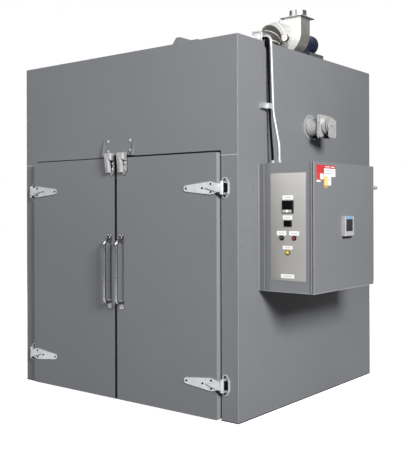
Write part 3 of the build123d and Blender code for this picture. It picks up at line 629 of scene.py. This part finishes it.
# Painted shadow beside the left lever, and the scalloped flange beside the right one in a lighter finish
# as painted light
LEVER_SHADOW = ((-0.056, 2.028), (-0.031, 2.028), (-0.031, 1.915), (-0.038, 1.898), (-0.050, 1.915))
SCALLOP = 0.0125
SCALLOP_LEFT = 0.086
SCALLOP_MIDDLE = 0.100
SCALLOP_STEPS = 6
slabs_y("left_lever_shadow", [LEVER_SHADOW], plate_face - 0.0010, plate_face, shade_and_joint_black, "left_door")
# The scallops take the lighter edge finish, a painted highlight on the flange.
for foot in (1.908, 1.937, 1.966, 1.995):
    turns = [pi * (step / SCALLOP_STEPS - 0.5) for step in range(SCALLOP_STEPS + 1)]
    arc = [(SCALLOP_MIDDLE + SCALLOP * cos(turn), foot + SCALLOP + SCALLOP * sin(turn))
           for turn in turns]
    outline = [(SCALLOP_LEFT, foot)] + arc + [(SCALLOP_LEFT, foot + 2 * SCALLOP)]
    slabs_y(f"right_latch_scallop_{round(foot * 1000)}", [outline], plate_face - 0.005, plate_face,
            edge_highlight, "right_door", 0.0008)

# Black seal in the gap between the leaves, partly painted shade: its lip on each leaf's face widens the
# gap's dark line
LIP_BACK = 0.004
SEAL_BACK = 0.030
for side, name in SIDES:
    low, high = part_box(name + "_door_leaf")
    inner = min(abs(low.x), abs(high.x))
    spans = []
    for reach, y0, y1 in (((0.0003, inner), leaf_face + LIP_BACK, leaf_face + SEAL_BACK),
                          ((inner - 0.0004, inner + 0.0042), leaf_face - 0.0006, leaf_face + LIP_BACK)):
        x0, x1 = span(side, *reach)
        spans.append(((x0, y0, low.z + 0.001), (x1, y1, high.z - 0.001)))
    boxes(name + "_meeting_seal", spans, shade_and_joint_black, name + "_door", 0)

# Painted highlight on each leaf's hinge side, painted shade above the leaves, painted highlight along the
# seam in the frame, painted contact shadow at the floor
SIDE_INSET = 0.004
HEADER_SHADE_HEIGHTS = {"right": 0.017, "left": 0.0085}
FLOOR_SHADOW = 0.007
line_face = header_face - LINE
for side, name in SIDES:
    low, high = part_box(name + "_door_leaf")
    outer = max(abs(low.x), abs(high.x))
    x0, x1 = span(side, outer - 0.0005, outer + 0.0006)
    boxes(name + "_leaf_side_highlight", [((x0, leaf_face + 0.0035, low.z + SIDE_INSET),
                                 (x1, header_face - 0.002, high.z - SIDE_INSET))],
          light_enamel, name + "_door", 0)
    x0, x1 = span(side, 0.0, outer)
    boxes(name + "_header_shade", [((x0, header_face - 0.001, leaf_top),
                                   (x1, header_face, leaf_top + HEADER_SHADE_HEIGHTS[name]))],
          shade_and_joint_black, BODY, 0)
    x0, x1 = span(side, outer + 0.006, wall_face - 0.001)
    boxes(name + "_frame_seam_highlight", [((x0, line_face, header_bottom - 0.002),
                                  (x1, header_face, header_bottom + 0.0025))],
          edge_highlight, BODY, 0)
    boxes(name + "_floor_shadow", [((x0, line_face, 0.0), (x1, header_face, FLOOR_SHADOW))],
          shade_and_joint_black, BODY, 0)
# Painted contact shadow along the side wall's foot.
boxes("side_floor_shadow", [((wall_face, header_face, 0.0),
                           (wall_face + LINE, -header_face - 0.001, FLOOR_SHADOW))],
      shade_and_joint_black, BODY, 0)
# Painted highlight down the front-right corner.
boxes("front_corner_highlight", [((wall_face - 0.003, line_face, 0.004),
                             (wall_face + LINE, header_face + 0.003, roof - 0.004))],
      highlight_enamel, BODY, 0.0008)

# Latch bracket bolts
places = [(x, header_face - 0.005, z) for x in (-0.126, 0.129) for z in (2.165, 2.081)]
bolts("bracket_header_bolts", places, FRONT, 0.009, zinc, BODY, add_hex_bolt)

# Cover of the mounting frame, and painted highlights and painted shade along the folded edges of the
# enclosure and of its door. The upright strips are as tall as the enclosure and given along X and by
# their distance from its face.
STRIP_BEVEL = 0.0006
FOLD = 0.0004
FOLD_BACK = 0.0005
enclosure_low, enclosure_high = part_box("control_enclosure")
enclosure_face = enclosure_low.y
enclosure_left = enclosure_low.x
for name, x0, x1, y0, y1, material, body, bevel in (
        ("frame_cover", wall_face + 0.0020, enclosure_left - 0.0004, 0.0008, 0.0085, enclosure_paint,
         BODY, STRIP_BEVEL),
        ("frame_cover_highlight", wall_face + 0.0005, wall_face + 0.0060, 0, 0.004, edge_highlight, BODY,
         STRIP_BEVEL),
        ("enclosure_edge_highlight", enclosure_left - 0.001, enclosure_left + 0.0045, -0.0008, 0.002,
         highlight_enamel, BODY, STRIP_BEVEL),
        ("enclosure_seam_cover", 1.6700, 1.6720, 0.0002, 0.001, enclosure_paint, BODY, STRIP_BEVEL),
        ("door_fold_highlight", 1.6800, 1.6850, -FOLD, FOLD_BACK, highlight_enamel, CONTROL, STRIP_BEVEL),
        ("door_fold_dark", 1.6865, 1.6925, -FOLD, FOLD_BACK, fold_shade, CONTROL, 0),
        ("door_corner_highlight", 1.6990, 1.7036, -0.0006, 0.005, highlight_enamel, CONTROL, STRIP_BEVEL)):
    boxes(name, [((x0, enclosure_face + y0, enclosure_low.z + 0.003),
                  (x1, enclosure_face + y1, enclosure_high.z - 0.003))],
          material, body, bevel)

# Painted highlights along the lower edges of the enclosure and of its door.
LOWER_HIGHLIGHT = 0.005
door_low, door_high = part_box("control_door")
highlight_top = door_low.z + LOWER_HIGHLIGHT
boxes("door_lower_highlight", [((door_high.x - 0.004, door_low.y + 0.003, door_low.z),
                           (door_high.x + 0.0006, door_high.y - 0.003, highlight_top)),
                          ((1.6800, door_low.y - FOLD, door_low.z),
                           (door_high.x, door_low.y + FOLD_BACK, highlight_top))],
      highlight_enamel, CONTROL, STRIP_BEVEL)
boxes("enclosure_lower_highlight", [((wall_face + 0.0005, enclosure_face - 0.0006, enclosure_low.z + 0.0005),
                                (1.6712, enclosure_face + 0.003, enclosure_low.z + LOWER_HIGHLIGHT))],
      highlight_enamel, BODY, STRIP_BEVEL)

# Plates on the operator panel without words: distances of both edges from the wall, bottom and top
PANEL_PLATES = (
    (0.215, 0.308, 1.663, 1.694), (0.217, 0.300, 1.514, 1.545), (0.164, 0.248, 1.395, 1.428),
    (0.272, 0.359, 1.395, 1.428), (0.217, 0.302, 1.290, 1.317), (0.200, 0.316, 1.075, 1.105))
PLATE_DEPTH = 0.0012
PLATE_LINE_DEPTH = 0.0016
LINE_INSET = 0.2
HALF_LINE = 0.002
panel_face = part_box("operator_panel")[0].y


def panel_plate(name, left, right, bottom, top, material, depth):
    boxes(name, [((wall_face + left, panel_face - depth, bottom), (wall_face + right, panel_face, top))],
          material, BODY, 0.0004)


for index, (left, right, bottom, top) in enumerate(PANEL_PLATES):
    panel_plate(f"panel_plate_{index}", left, right, bottom, top, white_label, PLATE_DEPTH)
    middle = (bottom + top) / 2
    inset = (right - left) * LINE_INSET
    panel_plate(f"panel_plate_line_{index}", left + inset, right - inset, middle - HALF_LINE,
                middle + HALF_LINE, label_line, PLATE_LINE_DEPTH)

# Screens of the controllers, each above its own share of the bezel's height
SCREEN_MARGIN = 0.07
for name, screen_bottom in (("temperature_controller", 0.32), ("limit_controller", 0.12)):
    low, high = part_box(name)
    height = high.z - low.z
    side = (high.x - low.x) * SCREEN_MARGIN
    boxes(name + "_screen", [((low.x + side, low.y - 0.0012, low.z + height * screen_bottom),
                              (high.x - side, low.y, high.z - height * SCREEN_MARGIN))],
          glass, BODY, 0.0006)

low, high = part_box("temperature_controller")
keys = [((x, low.y - 0.003, low.z + 0.006), (x + 0.029, low.y, low.z + 0.026))
        for x in (low.x + 0.008, low.x + 0.058)]
boxes("controller_keys", keys, pale, BODY, 0.002)
lathes("controller_middle_key", [((low.x + 0.0475, low.y, low.z + 0.016), FRONT,
                                  [(0.011, 0), (0.011, 0.003), (0.009, 0.0042), (0, 0.0042)])],
       white_label, BODY)

# Buttons
CAP_PROUD = 0.012
CAP = [(0.0118, -0.006), (0.0118, 0.001), (0.0095, 0.003), (0, 0.0038)]
RING_HOLE = 0.0122
RING_DEPTH = 0.0055
button_centre = (low.x + high.x) / 2
for name, across, z, material, ring_size, ring_material in (
        ("black_button", -0.054, 1.376, black_button, 0.0200, black),
        ("red_button", 0.054, 1.376, red_button, 0.0200, black),
        ("amber_button", 0, 1.267, amber_button, 0.0215, gold_ring)):
    x = button_centre + across
    lathes(name + "_cap", [((x, panel_face - CAP_PROUD, z), FRONT, CAP)], material, BODY)
    ring = [(ring_size, 0), (ring_size, 0.004), (ring_size - 0.002, RING_DEPTH), (RING_HOLE, RING_DEPTH)]
    lathes(name + "_ring", [((x, panel_face, z), FRONT, ring)], ring_material, BODY)

# Fresh-air inlet: light flange, dark joints and the rail with its bolts underneath
DAMPER_JOINTS = ((1.363, 0.0692), (1.3785, 0.0700), (1.4035, 0.0712), (1.4225, 0.0692))
DUCT_JOINTS = (1.2235, 1.3330)
DISC = [(0.077, 0.0045), (0.1062, 0.0045), (0.1062, 0.0035)]
FLANGE_LAP = 0.001
RAIL_BOTTOM = -0.096
low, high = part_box("inlet_damper")
inlet_y = (low.y + high.y) / 2
inlet_z = (low.z + high.z) / 2
boxes("damper_flange", [((low.x + 0.001, low.y - FLANGE_LAP, low.z - FLANGE_LAP),
                         (low.x + 0.010, high.y + FLANGE_LAP, high.z + FLANGE_LAP))],
      pale, BODY, 0.004)
joints = [((x, inlet_y, inlet_z), RIGHT, band(radius - 0.002, radius, 0.003))
          for x, radius in DAMPER_JOINTS]
joints += [((x, inlet_y, inlet_z), RIGHT, band(0.074, 0.0772, 0.0035)) for x in DUCT_JOINTS]
lathes("damper_joints", joints, shade_and_joint_black, BODY)
lathes("wall_disc_face", [((wall_face, inlet_y, inlet_z), RIGHT, DISC)], light_enamel, BODY,
       48)
boxes("damper_rail", [((1.262, inlet_y - 0.035, inlet_z + RAIL_BOTTOM),
                       (1.422, inlet_y - 0.005, inlet_z - 0.074))],
      shade_and_joint_black, BODY, 0.003)
rail_bolts = [(x, inlet_y - 0.020, inlet_z + RAIL_BOTTOM) for x in (1.272, 1.340, 1.408)]
bolts("damper_rail_bolts", rail_bolts, DOWN, 0.0075, zinc, BODY, add_hex_bolt)
bolts("damper_plate_bolt", [(high.x, inlet_y - 0.006, inlet_z - 0.002)], RIGHT, 0.006, black, BODY)

# Junction box on the roof: galvanised box with a lipped lid and screws, narrower than its solid, with
# painted shade on its +X side and under its lid
LID_ABOVE = 0.008
LID_BELOW = 0.004
low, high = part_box("roof_junction_box")
box_left = low.x + 0.043
box_top = high.z - 0.0085
lid_bottom = box_top - LID_BELOW
junction = boxes("junction_box", [((box_left + 0.002, low.y + 0.002, low.z),
                                   (high.x - 0.002, high.y - 0.002, box_top)),
                                  ((box_left, low.y, lid_bottom), (high.x, high.y, box_top + LID_ABOVE))],
                 smudged_zinc, BODY, 0.002)
# Grey plate on the +X side and a dark strip at the lid's end: painted shade.
boxes("junction_side_shade", [((high.x - 0.003, low.y + 0.004, low.z),
                         (high.x - 0.0012, high.y - 0.004, lid_bottom))],
      enclosure_paint, BODY, 0.0005)
boxes("junction_lid_end_shade", [((high.x - 0.001, low.y + 0.001, lid_bottom),
                            (high.x + 0.0006, high.y - 0.001, box_top + 0.0075))],
      dark_steel, BODY, 0.0005)
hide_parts("roof_junction_box")
boxes("junction_lid_shade", [((box_left + 0.001, low.y + 0.0005, box_top - 0.0075),
                              (high.x - 0.0005, high.y - 0.0005, box_top - 0.0042))],
      dark_steel, BODY, 0)
screws = [(x, low.y + 0.002, low.z + up) for x in (box_left + 0.014, high.x - 0.014)
          for up in (0.026, 0.066)]
bolts("junction_screws", screws, FRONT, 0.005, dark_steel, BODY)

# Blower: seams of the intake elbow, painted shade under the outlet's flange and painted reflections on
# its collar, rim screws, switch face
ELBOW_BEND = 0.125
ELBOW_STRAIGHT = 0.100
ELBOW_SEAMS = (0.0, 11.25, 33.75, 56.25, 78.75)
SEAM_RADIUS = 0.1015
SEAM = [(SEAM_RADIUS - 0.004, -0.004), (SEAM_RADIUS, -0.003), (SEAM_RADIUS, 0.003),
        (SEAM_RADIUS - 0.004, 0.004)]
low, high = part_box("blower_intake")
fan_x = (low.x + high.x) / 2
fan_z = high.z - (high.x - low.x) / 2
elbow_start = high.y - ELBOW_STRAIGHT
seams = []
for turned in ELBOW_SEAMS:
    angle = radians(turned)
    place = (fan_x, elbow_start - ELBOW_BEND * sin(angle), fan_z - ELBOW_BEND * (1 - cos(angle)))
    seams.append((place, (0, -cos(angle), -sin(angle)), SEAM))
lathes("elbow_seams", seams, duct_sheet, BODY, 48)

COLLAR_HEIGHT = 0.060
SHADE_DEPTH = 0.005
SHADE_INSET = 0.0002
low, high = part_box("blower_outlet")
flange_top = high.z - COLLAR_HEIGHT
shade_low, shade_high = flange_top - 0.0075, flange_top - 0.0012
left, right = low.x + 0.001, high.x - 0.001
front, back = low.y + 0.001, high.y - 0.001
# Painted shade along the flange under the collar.
boxes("outlet_flange_shade", [
    ((left, low.y + SHADE_INSET, shade_low), (right, low.y + SHADE_DEPTH, shade_high)),
    ((high.x - SHADE_DEPTH, front, shade_low), (high.x - SHADE_INSET, back, shade_high)),
    ((left, high.y - SHADE_DEPTH, shade_low), (right, high.y - SHADE_INSET, shade_high)),
    ((low.x + SHADE_INSET, front, shade_low), (low.x + SHADE_DEPTH, back, shade_high))],
      shade_and_joint_black, BODY, 0)

COLLAR_RADIUS = 0.0753
COLLAR_CENTRE = Vector((1.024, 0.094, 0))
REFLECTION_STEP = 4


def collar_reflection(name, start, end, material):
    """Thin dark patch on the outlet collar between two angles in degrees, a painted reflection."""
    bm = bmesh.new()
    columns = []
    for turned in range(start, end + 1, REFLECTION_STEP):
        out = Vector((cos(radians(turned)), sin(radians(turned)), 0))
        columns.append([bm.verts.new(COLLAR_CENTRE + out * COLLAR_RADIUS + Vector((0, 0, z)))
                        for z in (flange_top + 0.001, high.z - 0.001)])
    for first, second in zip(columns, columns[1:]):
        bm.faces.new((first[0], second[0], second[1], first[1]))
    finish_piece(name, bm, material, BODY)


collar_reflection("collar_reflection_left", -143, -107, base_paint)
collar_reflection("collar_reflection_middle", -79, -67, bracket_face)
collar_reflection("collar_reflection_right", -27, 25, base_paint)

RIM_RADIUS = 0.137
scroll_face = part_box("blower_scroll")[0].y
rim_screws = [(fan_x + RIM_RADIUS * cos(radians(turned)), scroll_face,
               fan_z + RIM_RADIUS * sin(radians(turned))) for turned in range(100, 260, 26)]
bolts("scroll_screws", rim_screws, FRONT, 0.0055, black, BODY)

SWITCH_DEPTH = 0.005
low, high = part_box("airflow_switch")
middle_x = (low.x + high.x) / 2
face_z = high.z - middle_x + low.x
lathes("switch_face", [((middle_x, low.y, face_z), FRONT,
                        [(0.028, 0), (0.028, 0.003), (0.024, SWITCH_DEPTH), (0, SWITCH_DEPTH)])],
       white_label, BODY)
lathes("switch_hub", [((middle_x + 0.006, low.y - SWITCH_DEPTH, face_z), FRONT,
                       [(0.0045, 0), (0.0045, 0.002), (0, 0.003)])],
       rose_label, BODY, 16)

# Display unit on the enclosure door
low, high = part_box("display_unit")
face = high.x
screen = (low.y + 0.013, low.y + 0.121)
boxes("display_screen", [((face - 0.003, screen[0], 1.418), (face - 0.0008, screen[1], 1.511))],
      tinted_screen, CONTROL, 0.0006)
boxes("display_strip", [((face - 0.003, screen[0], 1.512), (face - 0.0002, screen[1], 1.530))],
      blue_strip, CONTROL, 0.0004)
boxes("display_foot", [((face - 0.030, low.y + 0.004, low.z - 0.006),
                        (face - 0.006, high.y - 0.012, low.z))],
      black, CONTROL, 0.001)

# Coloured plates on the enclosure door, left without words: places along Y and Z
STICKER = 0.0008
STICKER_LINE = 0.0012
door_face = door_high.x
for name, y0, y1, z0, z1, material, depth in (
        ("red_plate_top", -0.781, -0.669, 1.868, 1.919, red_label, STICKER),
        ("red_plate_body", -0.781, -0.669, 1.806, 1.867, rose_label, STICKER),
        ("red_plate_foot", -0.781, -0.720, 1.792, 1.805, white_label, STICKER),
        ("white_plate_band", -0.667, -0.494, 1.896, 1.920, red_label, STICKER),
        ("white_plate_body", -0.667, -0.494, 1.834, 1.895, white_label, STICKER),
        ("red_plate_panel", -0.726, -0.675, 1.812, 1.854, white_label, STICKER_LINE),
        ("red_plate_line", -0.770, -0.690, 1.888, 1.895, rose_label, STICKER_LINE),
        ("white_plate_line_1", -0.652, -0.588, 1.904, 1.911, white_label, STICKER_LINE),
        ("white_plate_line_2", -0.566, -0.506, 1.904, 1.911, white_label, STICKER_LINE),
        ("white_plate_line_3", -0.655, -0.507, 1.876, 1.880, label_line, STICKER_LINE),
        ("white_plate_line_4", -0.655, -0.520, 1.856, 1.860, label_line, STICKER_LINE),
        ("small_plate_line", -0.604, -0.568, 1.808, 1.812, rose_label, STICKER_LINE),
        ("small_plate_left", -0.667, -0.612, 1.768, 1.833, yellow_label, STICKER),
        ("small_plate_right", -0.611, -0.560, 1.768, 1.833, white_label, STICKER),
        ("small_plate_foot", -0.667, -0.612, 1.750, 1.767, orange_label, STICKER)):
    boxes(name, [((door_face, y0, z0), (door_face + depth, y1, z1))], material, CONTROL,
          0.0003)


# Light, floor and background

def aimed(place, target, axis):
    """Rotation that turns the given local axis from a place towards a target."""
    return (Vector(target) - Vector(place)).to_track_quat(axis, "Y").to_euler()


def add_area(name, place, target, size, power):
    data = bpy.data.lights.new(name, "AREA")
    data.shape = "RECTANGLE"
    data.size, data.size_y = size
    data.energy = power
    lamp = bpy.data.objects.new(name, data)
    bpy.context.scene.collection.objects.link(lamp)
    lamp.location = place
    lamp.rotation_euler = aimed(place, target, "-Z")


add_area("key", (7.68, -4.33, 4.90), (1.2, 0.0, 2.2), (2.4, 2.4), 980)
add_area("front_fill", (-0.8, -7.2, 3.6), (0.0, -1.1, 1.0), (1.2, 1.2), 195)
add_area("left_fill", (-8.0, 1.0, 3.6), (-1.2, 0.0, 1.5), (4.0, 3.0), 330)
add_area("rear_fill", (-1.5, 9.0, 4.2), (0.0, 1.1, 1.6), (4.0, 3.0), 420)


def seen_directly(tree):
    """One for camera, glossy and transmission rays."""
    path = tree.nodes.new("ShaderNodeLightPath")
    total = path.outputs["Is Camera Ray"]
    for name in ("Is Glossy Ray", "Is Transmission Ray"):
        total = calculated(tree, "MAXIMUM", total, path.outputs[name])
    return total


def make_world():
    world = bpy.data.worlds.new("studio")
    bpy.context.scene.world = world
    world.use_nodes = True
    tree = world.node_tree
    background = tree.nodes["Background"]
    strength = node(tree, "MapRange", To_Min=0.07, To_Max=1.0)
    link(tree, seen_directly(tree), strength.inputs["Value"])
    background.inputs["Color"].default_value = (1, 1, 1, 1)
    link(tree, strength.outputs["Result"], background.inputs["Strength"])


def studio_plane(name, half_size, roughness):
    """Flat stage piece with a material of its own."""
    bm = bmesh.new()
    bmesh.ops.create_grid(bm, x_segments=1, y_segments=1, size=half_size)
    plane = make_object(name, bm)
    material, tree, shader = start_material(name)
    shader.inputs["Roughness"].default_value = roughness
    plane.data.materials.append(material)
    return plane, tree, shader


def make_floor():
    floor, tree, shader = studio_plane("studio_floor", 40, 0.9)
    seen_as_white = seen_directly(tree)
    tone = mixed(tree, seen_as_white, (0.05, 0.05, 0.05), (0.8, 0.8, 0.8))
    link(tree, tone, shader.inputs["Base Color"])
    shader.inputs["Specular IOR Level"].default_value = 0.1
    glow = node(tree, "Emission", Color=(1, 1, 1, 1))
    seen = node(tree, "MapRange", To_Max=0.92)
    link(tree, seen_as_white, seen.inputs["Value"])
    link(tree, seen.outputs["Result"], glow.inputs["Strength"])
    total = tree.nodes.new("ShaderNodeAddShader")
    link(tree, shader.outputs["BSDF"], total.inputs[0])
    link(tree, glow.outputs["Emission"], total.inputs[1])
    link(tree, total.outputs["Shader"], tree.nodes["Material Output"].inputs["Surface"])


def make_flag(name, centre, facing, size, shade):
    """Grey studio panel beside the object. It isn't seen directly."""
    flag, tree, shader = studio_plane(name, 0.5, 0.9)
    flag.location = centre
    flag.scale = (size[0], size[1], 1)
    flag.rotation_euler = aimed(centre, facing, "Z")
    flag.visible_camera = False
    shader.inputs["Base Color"].default_value = (shade, shade, shade, 1)


make_world()
make_floor()
make_flag("side_flag", (6.0, 6.5, 2.5), (1.2, 0.0, 2.0), (7.0, 6.0), 0.12)
make_flag("front_flag", (7.0, -10.0, 2.6), (0.6, -1.1, 1.4), (8.0, 6.0), 0.04)
make_flag("low_flag", (-4.8, -9.2, 0.7), (1.4, -0.8, 1.2), (9.0, 1.7), 0.06)
bpy.context.scene.view_settings.view_transform = "Standard"
